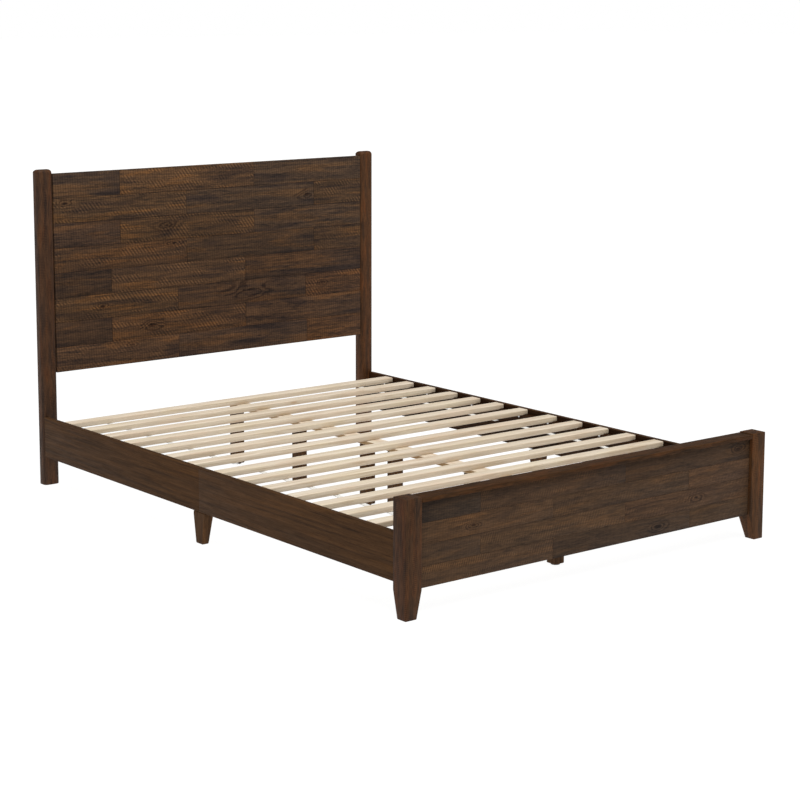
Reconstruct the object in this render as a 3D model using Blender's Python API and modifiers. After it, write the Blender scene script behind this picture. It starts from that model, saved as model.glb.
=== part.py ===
"""Wooden bed frame for a 1.37 x 1.90 m mattress: headboard, footboard, split side rails, slats and a centre support.

Metres, +Z up. X runs across the bed, +Y towards the headboard. The origin is on the floor, under the middle of
the whole frame. Each object is one piece of the real bed.
"""

import math

import bmesh
import bpy
from mathutils import Matrix, Vector

# Overall
WIDTH = 1.426  # over the outer faces of the posts
RAIL_RUN = 1.930  # clear length between headboard posts and footboard posts
SEAM_Y = 0.010  # where the two halves of each rail meet, mid-way along the run
GAP = 0.0003  # between pieces that touch

# Headboard
HEAD_POST = (0.058, 0.036, 1.087)
HEAD_POST_ROUND = 0.014  # front vertical corners
HEAD_PANEL_Z = (0.388, 1.071)
HEAD_PANEL_RECESS = 0.003
PANEL_THICKNESS = 0.020
BATTEN_WIDTH = 0.070
BATTEN_X = 0.360

# Footboard
FOOT_POST = (0.057, 0.056, 0.338)
FOOT_TAPER_TOP = 0.080
FOOT_TAPER = (0.018, 0.019)  # how far the inner and the back face come in at the floor
CAP_Z = (0.322, 0.335)
FOOT_PANEL_BOTTOM = 0.080
FOOT_PANEL_RECESS = 0.012

# Side rails
RAIL_OUT = 0.711  # outer face, from the centre line
RAIL_THICKNESS = 0.018
RAIL_Z = (0.1007, 0.239)
LEDGER = (0.024, 0.024)  # width, height
LEDGER_END = 0.065  # short of the posts
MID_LEG_TOP = (0.033, 0.063)
MID_LEG_FOOT = (0.024, 0.036)
MID_LEG_STRAIGHT = 0.012
PLATE = (0.003, 0.200, 0.050)  # steel plate across each seam
PLATE_Z = 0.125
CORNER_BRACKET = (0.003, 0.026, 0.050, 0.080)  # thickness, post wing, rail wing, height
CORNER_BRACKET_Z = 0.118

# Slats
SLAT = (1.384, 0.045, 0.018)
SLAT_TOP = RAIL_Z[1]  # the deck is level with the side rails
SLATS_PER_ROLL = 7
SLAT_PITCH = 0.1272
HEAD_ROLL_Y = 0.847  # centre of the slat nearest the headboard
FOOT_ROLL_Y = -0.066  # centre of the second roll's first slat
STRAP = (0.018, 0.0012)
STRAP_X = 0.540
STRAP_OVERHANG = 0.006

# Centre support
CENTRE_RAIL = (0.057, 0.014)  # width, height
CENTRE_RAIL_X = 0.0095  # its left edge is flush with its legs
CENTRE_LEG = 0.038
CENTRE_LEG_FROM_SEAM = (0.074, 0.459, 0.843)
GLIDE_RADIUS = 0.014
GLIDE_HEIGHT = 0.004
STEM_RADIUS = 0.004
STEM_TOP = 0.034
BORE_CLEARANCE = 0.0003
BORE_TOP = 0.046
ROUND_SIDES = 16

# Worked out
HEAD_Y = SEAM_Y + RAIL_RUN / 2  # front face of the headboard posts
FOOT_Y = SEAM_Y - RAIL_RUN / 2  # back face of the footboard posts
RAIL_IN = RAIL_OUT - RAIL_THICKNESS
SLAT_BOTTOM = SLAT_TOP - SLAT[2]
HEAD_PANEL_X = WIDTH / 2 - HEAD_POST[0] - GAP
FOOT_PANEL_X = WIDTH / 2 - FOOT_POST[0] - GAP
HEAD_PANEL_Y = HEAD_Y + HEAD_PANEL_RECESS
FOOT_PANEL_Y = FOOT_Y - FOOT_POST[1] + FOOT_PANEL_RECESS
CENTRE_RAIL_Z = (SLAT_BOTTOM - GAP - CENTRE_RAIL[1], SLAT_BOTTOM - GAP)
CENTRE_RAIL_HALF = CENTRE_LEG_FROM_SEAM[2] + CENTRE_LEG / 2  # it ends level with its outer legs

COLOURS = {  # red, green, blue, roughness, metallic
    "post_wood": (0.060, 0.026, 0.014, 0.55, 0.0),
    "plank_wood": (0.070, 0.035, 0.018, 0.60, 0.0),
    "rail_wood": (0.048, 0.024, 0.014, 0.55, 0.0),
    "leg_wood": (0.025, 0.014, 0.009, 0.60, 0.0),
    "pine": (0.680, 0.540, 0.370, 0.65, 0.0),
    "webbing": (0.820, 0.800, 0.750, 0.90, 0.0),
    "steel": (0.330, 0.330, 0.340, 0.40, 1.0),
    "nylon": (0.022, 0.020, 0.019, 0.50, 0.0),
}


def clear_scene():
    for obj in list(bpy.data.objects):
        bpy.data.objects.remove(obj, do_unlink=True)


def new_collection(name, hidden):
    group = bpy.data.collections.new(name)
    group.hide_render = hidden
    bpy.context.scene.collection.children.link(group)
    return group


def new_material(slot, name):
    red, green, blue, roughness, metallic = COLOURS[slot]
    material = bpy.data.materials.new(name)
    material.use_nodes = True
    shader = material.node_tree.nodes["Principled BSDF"]
    shader.inputs["Base Color"].default_value = (red, green, blue, 1)
    shader.inputs["Roughness"].default_value = roughness
    shader.inputs["Metallic"].default_value = metallic
    material.diffuse_color = (red, green, blue, 1)
    return material


def add_object(name, data, slot, group):
    obj = bpy.data.objects.new(name, data)
    group.objects.link(obj)
    data.materials.append(new_material(slot, name))
    return obj


def box_mesh(size, cut_z=None):
    """A bmesh box standing on z = 0, centred in X and Y. cut_z adds a ring of edges at that height."""
    mesh = bmesh.new()
    bmesh.ops.create_cube(mesh, size=1)
    bmesh.ops.translate(mesh, verts=mesh.verts, vec=(0, 0, 0.5))
    bmesh.ops.scale(mesh, verts=mesh.verts, vec=size)
    if cut_z is not None:
        every = mesh.verts[:] + mesh.edges[:] + mesh.faces[:]
        bmesh.ops.bisect_plane(mesh, geom=every, plane_co=(0, 0, cut_z), plane_no=(0, 0, 1))
    return mesh


def finish_mesh(mesh, name):
    data = bpy.data.meshes.new(name)
    mesh.to_mesh(data)
    mesh.free()
    return data


def bevel(obj, width, segments=1):
    """Rounds every edge sharper than 30 degrees."""
    modifier = obj.modifiers.new("Bevel", "BEVEL")
    modifier.width = width
    modifier.segments = segments
    modifier.limit_method = "ANGLE"
    modifier.angle_limit = math.radians(30)
    return modifier


def bevel_weights(mesh, weight_of):
    """Stores a bevel weight on each edge, from its middle point and direction."""
    layer = mesh.edges.layers.float.new("bevel_weight_edge")
    for edge in mesh.edges:
        middle = (edge.verts[0].co + edge.verts[1].co) / 2
        along = (edge.verts[1].co - edge.verts[0].co).normalized()
        edge[layer] = weight_of(middle, along)


def board(name, low, high, slot, round_edge=0.0, segments=1):
    """A straight board that fills the box from low to high."""
    size = [b - a for a, b in zip(low, high)]
    obj = add_object(name, finish_mesh(box_mesh(size), name), slot, PARTS)
    obj.location = ((low[0] + high[0]) / 2, (low[1] + high[1]) / 2, low[2])
    if round_edge:
        bevel(obj, round_edge, segments)
    return obj


def mirrored_range(side, near, far):
    """Low and high of a span that lies between near and far on one side of the centre line."""
    return sorted((side * near, side * far))


def head_post(name, side):
    """Headboard post: front corners well rounded, top softly crowned."""
    mesh = box_mesh(HEAD_POST)
    top = HEAD_POST[2]
    front = -HEAD_POST[1] / 2

    def weight_of(middle, along):
        if middle.z > top - 0.001:
            return 0.7
        if abs(along.z) > 0.9 and middle.y < front + 0.001:
            return 1.0
        return 0.15

    bevel_weights(mesh, weight_of)
    obj = add_object(name, finish_mesh(mesh, name), "post_wood", PARTS)
    obj.location = (side * (WIDTH - HEAD_POST[0]) / 2, HEAD_Y + HEAD_POST[1] / 2, 0)
    modifier = bevel(obj, HEAD_POST_ROUND, 3)
    modifier.limit_method = "WEIGHT"


def foot_post(name, side):
    """Footboard post: a square post whose two inner faces taper in towards the floor."""
    mesh = box_mesh(FOOT_POST, cut_z=FOOT_TAPER_TOP)
    for vert in mesh.verts:
        if vert.co.z < 0.001:
            if vert.co.x * side < 0:
                vert.co.x += side * FOOT_TAPER[0]
            if vert.co.y > 0:
                vert.co.y -= FOOT_TAPER[1]
    obj = add_object(name, finish_mesh(mesh, name), "post_wood", PARTS)
    obj.location = (side * (WIDTH - FOOT_POST[0]) / 2, FOOT_Y - FOOT_POST[1] / 2, 0)
    modifier = bevel(obj, 0.002, 2)
    modifier.angle_limit = math.radians(20)


def headboard():
    for label, side in (("left", -1), ("right", 1)):
        head_post("headboard_post_" + label, side)
        batten_x = mirrored_range(side, BATTEN_X - BATTEN_WIDTH / 2, BATTEN_X + BATTEN_WIDTH / 2)
        low = (batten_x[0], HEAD_PANEL_Y + PANEL_THICKNESS + GAP, HEAD_PANEL_Z[0] + 0.020)
        high = (batten_x[1], HEAD_Y + HEAD_POST[1], HEAD_PANEL_Z[1] - 0.020)
        board("headboard_batten_" + label, low, high, "leg_wood", 0.002)
    low = (-HEAD_PANEL_X, HEAD_PANEL_Y, HEAD_PANEL_Z[0])
    high = (HEAD_PANEL_X, HEAD_PANEL_Y + PANEL_THICKNESS, HEAD_PANEL_Z[1])
    board("headboard_panel", low, high, "plank_wood", 0.002)


def footboard():
    for label, side in (("left", -1), ("right", 1)):
        foot_post("footboard_post_" + label, side)
    low = (-FOOT_PANEL_X, FOOT_Y - FOOT_POST[1], CAP_Z[0])
    high = (FOOT_PANEL_X, FOOT_Y, CAP_Z[1])
    board("footboard_top_rail", low, high, "post_wood", 0.002, 2)
    low = (-FOOT_PANEL_X, FOOT_PANEL_Y, FOOT_PANEL_BOTTOM)
    high = (FOOT_PANEL_X, FOOT_PANEL_Y + PANEL_THICKNESS, CAP_Z[0] - GAP)
    board("footboard_panel", low, high, "plank_wood", 0.002)


def mid_leg(name, side):
    """Short tapered leg under the seam of a side rail, flush with the rail's outer face."""
    height = RAIL_Z[0] - GAP
    mesh = box_mesh((*MID_LEG_TOP, height), cut_z=height - MID_LEG_STRAIGHT)
    for vert in mesh.verts:
        if vert.co.z < 0.001:
            vert.co.y *= MID_LEG_FOOT[1] / MID_LEG_TOP[1]
            if vert.co.x * side < 0:
                vert.co.x = side * (MID_LEG_TOP[0] / 2 - MID_LEG_FOOT[0])
    obj = add_object(name, finish_mesh(mesh, name), "leg_wood", PARTS)
    obj.location = (side * (RAIL_OUT - MID_LEG_TOP[0] / 2), SEAM_Y, 0)
    modifier = bevel(obj, 0.003, 2)
    modifier.angle_limit = math.radians(20)


def angle_piece(name, thickness, height, corner, first, second):
    """An L of steel sheet with its outer corner at corner. first and second are its wings, as vectors."""
    first = Vector(first)
    second = Vector(second)
    a = first.length
    b = second.length
    curve = bpy.data.curves.new(name, "CURVE")
    curve.dimensions = "2D"
    curve.fill_mode = "BOTH"
    curve.extrude = height / 2
    outline = [(0, 0), (a, 0), (a, thickness), (thickness, thickness), (thickness, b), (0, b)]
    spline = curve.splines.new("POLY")
    spline.points.add(len(outline) - 1)
    for point, (x, y) in zip(spline.points, outline):
        point.co = (x, y, 0, 1)
    spline.use_cyclic_u = True
    obj = add_object(name, curve, "steel", PARTS)
    along = first.normalized()
    across = second.normalized()
    turn = Matrix((along, across, along.cross(across))).transposed()
    obj.matrix_world = Matrix.Translation(corner) @ turn.to_4x4()


def side_rails():
    half_run = RAIL_RUN / 2 - GAP
    thickness, post_wing, rail_wing, height = CORNER_BRACKET
    for label, side in (("left", -1), ("right", 1)):
        rail_x = mirrored_range(side, RAIL_IN, RAIL_OUT)
        ledger_x = mirrored_range(side, RAIL_IN - GAP - LEDGER[0], RAIL_IN - GAP)
        for end, way in (("head", 1), ("foot", -1)):
            rail_y = sorted((SEAM_Y + way * GAP / 2, SEAM_Y + way * half_run))
            low = (rail_x[0], rail_y[0], RAIL_Z[0])
            high = (rail_x[1], rail_y[1], RAIL_Z[1])
            board("side_rail_" + label + "_" + end, low, high, "rail_wood", 0.0015)
            ledger_y = sorted((SEAM_Y + way * 0.003, SEAM_Y + way * (half_run - LEDGER_END)))
            low = (ledger_x[0], ledger_y[0], SLAT_BOTTOM - GAP - LEDGER[1])
            high = (ledger_x[1], ledger_y[1], SLAT_BOTTOM - GAP)
            board("slat_ledger_" + label + "_" + end, low, high, "rail_wood", 0.0015)
            corner = (side * (RAIL_IN - GAP), SEAM_Y + way * half_run, CORNER_BRACKET_Z + height / 2)
            name = "corner_bracket_" + label + "_" + end
            wings = ((-side * post_wing, 0, 0), (0, -way * rail_wing, 0))
            angle_piece(name, thickness, height, corner, *wings)
        plate_x = mirrored_range(side, RAIL_IN - GAP - PLATE[0], RAIL_IN - GAP)
        low = (plate_x[0], SEAM_Y - PLATE[1] / 2, PLATE_Z)
        high = (plate_x[1], SEAM_Y + PLATE[1] / 2, PLATE_Z + PLATE[2])
        board("rail_joining_plate_" + label, low, high, "steel")
        mid_leg("mid_leg_" + label, side)


def slat_centres():
    """Y of every slat's centre, from the headboard down."""
    starts = (HEAD_ROLL_Y, FOOT_ROLL_Y)
    return [start - SLAT_PITCH * i for start in starts for i in range(SLATS_PER_ROLL)]


def slats():
    centres = slat_centres()
    for number, y in enumerate(centres, 1):
        low = (-SLAT[0] / 2, y - SLAT[1] / 2, SLAT_BOTTOM)
        high = (SLAT[0] / 2, y + SLAT[1] / 2, SLAT_TOP)
        board(f"slat_{number:02d}", low, high, "pine", 0.003, 2)
    for roll, end in enumerate(("head", "foot")):
        first = centres[roll * SLATS_PER_ROLL] + SLAT[1] / 2 + STRAP_OVERHANG
        last = centres[(roll + 1) * SLATS_PER_ROLL - 1] - SLAT[1] / 2 - STRAP_OVERHANG
        for label, side in (("left", -1), ("right", 1)):
            x = side * STRAP_X
            low = (x - STRAP[0] / 2, last, SLAT_BOTTOM - GAP - STRAP[1])
            high = (x + STRAP[0] / 2, first, SLAT_BOTTOM - GAP)
            board("slat_strap_" + label + "_" + end, low, high, "webbing")


def bore_cutter():
    """The hole up a centre leg's foot for the stem of its glide. One cutter serves each leg in turn."""
    mesh = bmesh.new()
    radius = STEM_RADIUS + BORE_CLEARANCE
    bmesh.ops.create_cone(
        mesh, cap_ends=True, segments=ROUND_SIDES, radius1=radius, radius2=radius, depth=BORE_TOP
    )
    bmesh.ops.translate(mesh, verts=mesh.verts, vec=(0, 0, BORE_TOP / 2))
    return finish_mesh(mesh, "glide_bore")


def glide_mesh():
    """Outline of a glide and its stem, to be turned about the Z axis. It runs from the top down."""
    top = GLIDE_HEIGHT - GAP
    outline = [
        (0, STEM_TOP),
        (STEM_RADIUS, STEM_TOP - 0.001),
        (STEM_RADIUS, top),
        (GLIDE_RADIUS, top),
        (GLIDE_RADIUS, 0.002),
        (GLIDE_RADIUS - 0.002, 0),
        (0, 0),
    ]
    data = bpy.data.meshes.new("glide")
    edges = [(i, i + 1) for i in range(len(outline) - 1)]
    data.from_pydata([(x, 0, z) for x, z in outline], edges, [])
    return data


def glide(name, y):
    obj = add_object(name, glide_mesh(), "nylon", PARTS)
    obj.location = (0, y, 0)
    screw = obj.modifiers.new("Screw", "SCREW")
    screw.axis = "Z"
    screw.steps = ROUND_SIDES
    screw.render_steps = ROUND_SIDES
    screw.use_merge_vertices = True
    screw.merge_threshold = 0.0001


def centre_support():
    rail_x = (CENTRE_RAIL_X - CENTRE_RAIL[0] / 2, CENTRE_RAIL_X + CENTRE_RAIL[0] / 2)
    rail_bottom, rail_top = CENTRE_RAIL_Z
    for end, way in (("head", 1), ("foot", -1)):
        rail_y = sorted((SEAM_Y + way * 0.0005, SEAM_Y + way * CENTRE_RAIL_HALF))
        low = (rail_x[0], rail_y[0], rail_bottom)
        high = (rail_x[1], rail_y[1], rail_top)
        board("centre_rail_" + end, low, high, "pine", 0.0015)
    bore = bore_cutter()
    from_seam = sorted([d * way for d in CENTRE_LEG_FROM_SEAM for way in (1, -1)], reverse=True)
    for number, distance in enumerate(from_seam, 1):
        y = SEAM_Y + distance
        low = (-CENTRE_LEG / 2, y - CENTRE_LEG / 2, GLIDE_HEIGHT)
        high = (CENTRE_LEG / 2, y + CENTRE_LEG / 2, rail_bottom - GAP)
        leg = board(f"centre_leg_{number}", low, high, "leg_wood", 0.002)
        cutter = bpy.data.objects.new(f"bore_cutter_{number}", bore)
        cutter.location = (0, y, 0)
        cutter.hide_render = True
        cutter.display_type = "WIRE"
        CUTTERS.objects.link(cutter)
        cut = leg.modifiers.new("Glide bore", "BOOLEAN")
        cut.operation = "DIFFERENCE"
        cut.object = cutter
        glide(f"leg_glide_{number}", y)


clear_scene()
PARTS = new_collection("bed_frame", hidden=False)
CUTTERS = new_collection("cutters", hidden=True)
headboard()
footboard()
side_rails()
slats()
centre_support()
print(len(PARTS.objects), "pieces")
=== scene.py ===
import math
import random

import bpy
from mathutils import Matrix, Vector


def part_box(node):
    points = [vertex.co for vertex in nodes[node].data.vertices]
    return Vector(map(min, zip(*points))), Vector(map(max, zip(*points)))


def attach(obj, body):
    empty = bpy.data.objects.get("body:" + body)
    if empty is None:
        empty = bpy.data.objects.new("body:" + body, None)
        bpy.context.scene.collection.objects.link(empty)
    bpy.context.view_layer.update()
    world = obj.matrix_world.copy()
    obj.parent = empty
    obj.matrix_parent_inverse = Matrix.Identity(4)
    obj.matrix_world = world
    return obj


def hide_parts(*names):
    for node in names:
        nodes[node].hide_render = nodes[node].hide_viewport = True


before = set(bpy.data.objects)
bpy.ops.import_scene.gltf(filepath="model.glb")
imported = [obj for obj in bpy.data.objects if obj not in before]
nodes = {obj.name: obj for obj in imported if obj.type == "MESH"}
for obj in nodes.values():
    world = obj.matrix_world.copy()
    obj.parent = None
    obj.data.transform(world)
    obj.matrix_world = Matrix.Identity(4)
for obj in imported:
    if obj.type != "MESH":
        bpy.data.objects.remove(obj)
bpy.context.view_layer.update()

scene = bpy.context.scene
print("frame loaded:", len(nodes), "nodes")


# camera, floor and light

cameraLook = {
    "place": (-4.0814, -5.2214, 1.6813),
    "turn": -38.4827,  # degrees to the right of +Y
    "tilt": -8.7878,  # degrees, below the horizon
    "roll": 0.1318,
    "lens": 93.13,
    "sensor": 36.0,
    "shiftUp": -0.11,
}


def addCamera(look):
    bpy.ops.object.camera_add()
    camera = bpy.context.object
    camera.name = "bedCamera"
    camera.data.sensor_width = look["sensor"]
    camera.data.lens = look["lens"]
    camera.data.shift_y = look["shiftUp"]
    camera.data.clip_end = 200
    turn = Matrix.Rotation(math.radians(look["turn"]), 4, "Z")
    tilt = Matrix.Rotation(math.radians(90 + look["tilt"]), 4, "X")
    roll = Matrix.Rotation(math.radians(look["roll"]), 4, "Z")
    camera.matrix_world = Matrix.Translation(look["place"]) @ turn @ tilt @ roll
    scene.camera = camera


studioLook = {
    "skyStrength": 0.27,
    "floorSize": 120.0,
    "floorColour": (0.12, 0.12, 0.119),
    "floorGlow": 0.94,
    "keyPlace": (-3.0, -4.6, 4.4),
    "keySize": 4.0,
    "keyPower": 30.0,
    "sunFrom": (-0.10, -0.36, 1.0),
    "sunSpread": 44.0,  # degrees: the wider, the softer its shadows
    "sunPower": 2.75,
}


def addSoftLight(name, place, size, power, aim):
    bpy.ops.object.light_add(type="AREA", location=place)
    light = bpy.context.object
    light.name = name
    light.data.shape = "SQUARE"
    light.data.size = size
    light.data.energy = power
    way = Vector(aim) - Vector(place)
    light.rotation_euler = way.to_track_quat("-Z", "Y").to_euler()


def addStudio(look):
    world = bpy.data.worlds.new("softSky")
    scene.world = world
    world.use_nodes = True
    tree = world.node_tree
    sky = tree.nodes["Background"]
    sky.inputs["Color"].default_value = (1, 1, 1, 1)
    sky.inputs["Strength"].default_value = look["skyStrength"]
    backdrop = tree.nodes.new("ShaderNodeBackground")  # the white that shows behind the bed
    choose = tree.nodes.new("ShaderNodeMixShader")
    rays = tree.nodes.new("ShaderNodeLightPath")
    tree.links.new(rays.outputs["Is Camera Ray"], choose.inputs[0])
    tree.links.new(sky.outputs["Background"], choose.inputs[1])
    tree.links.new(backdrop.outputs["Background"], choose.inputs[2])
    tree.links.new(choose.outputs["Shader"], tree.nodes["World Output"].inputs["Surface"])
    backdrop.inputs["Color"].default_value = (1, 1, 1, 1)
    addSoftLight("keyLight", look["keyPlace"], look["keySize"], look["keyPower"], (0, -0.2, 0.3))
    bpy.ops.object.light_add(type="SUN", location=(0, 0, 5))
    sun = bpy.context.object
    sun.name = "topLight"
    sun.data.energy = look["sunPower"]
    sun.data.angle = math.radians(look["sunSpread"])
    sun.rotation_euler = Vector(look["sunFrom"]).to_track_quat("Z", "Y").to_euler()
    bpy.ops.mesh.primitive_plane_add(size=look["floorSize"], location=(0, 0, 0))
    floor = bpy.context.object
    floor.name = "studioFloor"
    paint = bpy.data.materials.new("floorPaint")
    paint.use_nodes = True
    shader = paint.node_tree.nodes["Principled BSDF"]
    shader.inputs["Base Color"].default_value = (*look["floorColour"], 1)
    shader.inputs["Roughness"].default_value = 0.9
    shader.inputs["Specular IOR Level"].default_value = 0.1
    shader.inputs["Emission Color"].default_value = (1, 1, 1, 1)
    shader.inputs["Emission Strength"].default_value = look["floorGlow"]
    floor.data.materials.append(paint)
    scene.view_settings.view_transform = "Standard"


bpy.ops.object.select_all(action="DESELECT")
addCamera(cameraLook)
addStudio(studioLook)
print("studio ready")


# node helpers: most give back the socket that holds their result

def startMaterial(name, roughness, metallic=0.0):
    material = bpy.data.materials.new(name)
    material.use_nodes = True
    tree = material.node_tree
    shader = tree.nodes["Principled BSDF"]
    shader.inputs["Roughness"].default_value = roughness
    shader.inputs["Metallic"].default_value = metallic
    return material, tree, shader


def feed(tree, socket, value):
    if isinstance(value, bpy.types.NodeSocket):
        tree.links.new(value, socket)
    elif isinstance(value, tuple) and len(value) == 3 and socket.type == "RGBA":
        socket.default_value = (*value, 1)
    else:
        socket.default_value = value


def place(tree):
    return tree.nodes.new("ShaderNodeTexCoord").outputs["Object"]


def stretch(tree, vector, scale=(1, 1, 1), turn=(0, 0, 0), shift=(0, 0, 0)):
    mapping = tree.nodes.new("ShaderNodeMapping")
    feed(tree, mapping.inputs["Vector"], vector)
    mapping.inputs["Scale"].default_value = scale
    mapping.inputs["Rotation"].default_value = turn
    mapping.inputs["Location"].default_value = shift
    return mapping.outputs["Vector"]


def cloud(tree, vector, scale=1.0, detail=2.0, roughness=0.5, warp=0.0):
    noise = tree.nodes.new("ShaderNodeTexNoise")
    feed(tree, noise.inputs["Vector"], vector)
    noise.inputs["Scale"].default_value = scale
    noise.inputs["Detail"].default_value = detail
    noise.inputs["Roughness"].default_value = roughness
    noise.inputs["Distortion"].default_value = warp
    return noise.outputs["Fac"]


def streaks(tree, vector, length, width, detail=2.0, shift=(0, 0, 0), warp=0.0):
    # noise drawn out along X: each streak is about length by width, in metres
    drawn = stretch(tree, vector, (1 / length, 1 / width, 1 / width), shift=shift)
    return cloud(tree, drawn, 1.0, detail, 0.5, warp)


def level(tree, value, low, high, start=0.0, end=1.0):
    # low..high becomes start..end, with soft shoulders
    remap = tree.nodes.new("ShaderNodeMapRange")
    remap.interpolation_type = "SMOOTHSTEP"
    feed(tree, remap.inputs["Value"], value)
    remap.inputs["From Min"].default_value = low
    remap.inputs["From Max"].default_value = high
    remap.inputs["To Min"].default_value = start
    remap.inputs["To Max"].default_value = end
    return remap.outputs["Result"]


def reckon(tree, operation, first, second=0.0, third=None):
    maths = tree.nodes.new("ShaderNodeMath")
    maths.operation = operation
    feed(tree, maths.inputs[0], first)
    feed(tree, maths.inputs[1], second)
    if third is not None:
        feed(tree, maths.inputs[2], third)
    return maths.outputs["Value"]


def product(tree, first, second):
    return reckon(tree, "MULTIPLY", first, second)


def split(tree, vector):
    apart = tree.nodes.new("ShaderNodeSeparateXYZ")
    feed(tree, apart.inputs["Vector"], vector)
    return apart.outputs


def faceTurn(tree, axis):
    # 1 on faces that look along the axis, 0 on those beside it
    normal = tree.nodes.new("ShaderNodeNewGeometry").outputs["Normal"]
    return reckon(tree, "ABSOLUTE", split(tree, normal)[axis])


def blend(tree, kind, amount, first, second):
    mix = tree.nodes.new("ShaderNodeMix")
    mix.data_type = "RGBA"
    mix.blend_type = kind
    feed(tree, mix.inputs[0], amount)
    feed(tree, mix.inputs[6], first)
    feed(tree, mix.inputs[7], second)
    return mix.outputs[2]


def tinted(tree, shade, amount, tint):
    return blend(tree, "MULTIPLY", amount, shade, tint)


def pieceValue(tree, name, output="Fac"):
    attribute = tree.nodes.new("ShaderNodeAttribute")
    attribute.attribute_name = name
    return attribute.outputs[output]


def relief(tree, shader, height, strength, depth):
    bump = tree.nodes.new("ShaderNodeBump")
    bump.inputs["Strength"].default_value = strength
    bump.inputs["Distance"].default_value = depth
    feed(tree, bump.inputs["Height"], height)
    tree.links.new(bump.outputs["Normal"], shader.inputs["Normal"])


def edgeShadeAndHighlight(tree, reach, low=0.02, high=0.30):
    # 1 where a corner is nearer than reach, from how much a rounded normal differs
    soft = tree.nodes.new("ShaderNodeBevel")
    soft.samples = 4
    soft.inputs["Radius"].default_value = reach
    straight = tree.nodes.new("ShaderNodeNewGeometry").outputs["Normal"]
    match = tree.nodes.new("ShaderNodeVectorMath")
    match.operation = "DOT_PRODUCT"
    feed(tree, match.inputs[0], soft.outputs["Normal"])
    feed(tree, match.inputs[1], straight)
    return level(tree, reckon(tree, "SUBTRACT", 1.0, match.outputs["Value"]), low, high)


# wood: a look says how a piece of wood is cut, coloured and worn

grainTurns = {
    "x": (0, 0, 0),
    "y": (0, 0, math.pi / 2),
    "z": (0, math.pi / 2, 0),
}

# what a look has unless it says otherwise
commonLook = {
    "tone": None,
    "gain": 1.0,  # over the whole colour
    "perPlank": False,  # each plank then has its own tone, cut, knot and saw marks
    "shift": (0, 0, 0),  # where in the grain the piece is cut
    "crisp": (0.36, 0.64),  # the nearer these two, the sharper the streaks
    "pores": 0.55,
    "bars": None,  # from one mark across the grain to the next, in metres
    "knots": None,
    "cheekLight": None,
    "insideShade": None,
    "sides": None,
    "reach": 0.0022,  # how far from a corner the painted edge shade and highlight reach
}
woodLooks = {
    "headPlankWood": {
        "grain": "x",
        "perPlank": True,
        "dark": (0.37, 0.41, 0.50),
        "light": (1.80, 1.60, 1.27),
        "bands": (0.22, 0.0068),  # length and width of a streak, in metres
        "swell": (0.45, 0.050),
        "rings": 7.0,
        "fibre": (0.017, 0.0017),
        "weights": (0.36, 0.16, 0.48),  # bands, rings and fibre
        "crisp": (0.41, 0.59),
        "patches": (0.24, 0.030),
        "murky": (0.52, 0.57, 0.76),
        "golden": (1.48, 1.29, 0.98),
        "patchShare": 0.78,
        "sawPitch": 0.0108,
        "sawTurn": 37.0,
        "sawDepth": 0.50,
        "combPitch": 0.0096,
        "combDepth": 0.50,
        "edge": (0.30, 0.30, 0.33),
        "paintedEdgeShare": 0.9,
        "reach": 0.0034,
        "roughness": (0.52, 0.70),
        "shine": 0.10,
    },
    "postWood": {
        "grain": "z",
        "gain": 0.91,
        "dark": (0.56, 0.59, 0.66),
        "light": (1.42, 1.32, 1.16),
        "bands": (0.10, 0.0110),
        "swell": (0.80, 0.050),
        "rings": 5.0,
        "fibre": (0.026, 0.0018),
        "weights": (0.34, 0.14, 0.52),
        "patches": (0.12, 0.016),
        "murky": (0.58, 0.68, 0.88),
        "golden": (1.26, 1.07, 0.90),
        "patchShare": 0.80,
        "bars": 0.0055,
        "barDepth": 0.60,
        "edge": (1.5, 1.4, 1.3),
        "paintedEdgeShare": 0.35,
        "roughness": (0.46, 0.62),
        "shine": 0.10,
    },
    "railWood": {
        "grain": "y",
        "tone": (0.0615, 0.0307, 0.0138),
        "dark": (0.58, 0.60, 0.66),
        "light": (1.46, 1.39, 1.24),
        "bands": (0.55, 0.0075),
        "swell": (1.30, 0.070),
        "rings": 9.0,
        "fibre": (0.060, 0.0020),
        "weights": (0.36, 0.28, 0.36),
        "patches": (0.40, 0.030),
        "murky": (0.82, 0.84, 0.90),
        "golden": (1.20, 1.12, 0.96),
        "patchShare": 0.6,
        "insideShade": (0.46, 0.39, 0.35),  # painted shade: the faces turned towards the slats are darker
        "edge": (1.5, 1.4, 1.3),
        "paintedEdgeShare": 0.3,
        "roughness": (0.50, 0.66),
        "shine": 0.05,
    },
    "pine": {
        "grain": "x",
        "tone": (0.715, 0.624, 0.508),
        "dark": (0.82, 0.75, 0.66),
        "light": (1.10, 1.11, 1.11),
        "bands": (0.45, 0.0080),
        "swell": (0.80, 0.045),
        "rings": 9.0,
        "fibre": (0.090, 0.0014),
        "weights": (0.34, 0.30, 0.36),
        "patches": (0.20, 0.040),
        "murky": (0.99, 0.94, 0.91),
        "golden": (1.01, 1.01, 0.96),
        "patchShare": 0.8,
        "pores": 0.12,
        "knots": 0.6,
        # painted shade: faces that don't look up are darker
        "sides": (0.88, 0.85, 0.81),
        "edge": (1.06, 1.06, 1.06),
        "paintedEdgeShare": 0.5,
        "roughness": (0.58, 0.72),
        "shine": 0.20,
    },
}
woodLooks["footPlankWood"] = {
    **woodLooks["headPlankWood"],
    "dark": (0.56, 0.58, 0.63),
    "light": (1.42, 1.34, 1.20),
    "bands": (0.12, 0.0060),
    "fibre": (0.022, 0.0015),
    "weights": (0.30, 0.22, 0.48),
    "patchShare": 0.40,
    "sawPitch": 0.0062,
    "sawTurn": 14.0,
    "sawDepth": 0.45,
    "combPitch": 0.0056,
    "combDepth": 0.50,
    "paintedEdgeShare": 0.22,
}


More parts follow.
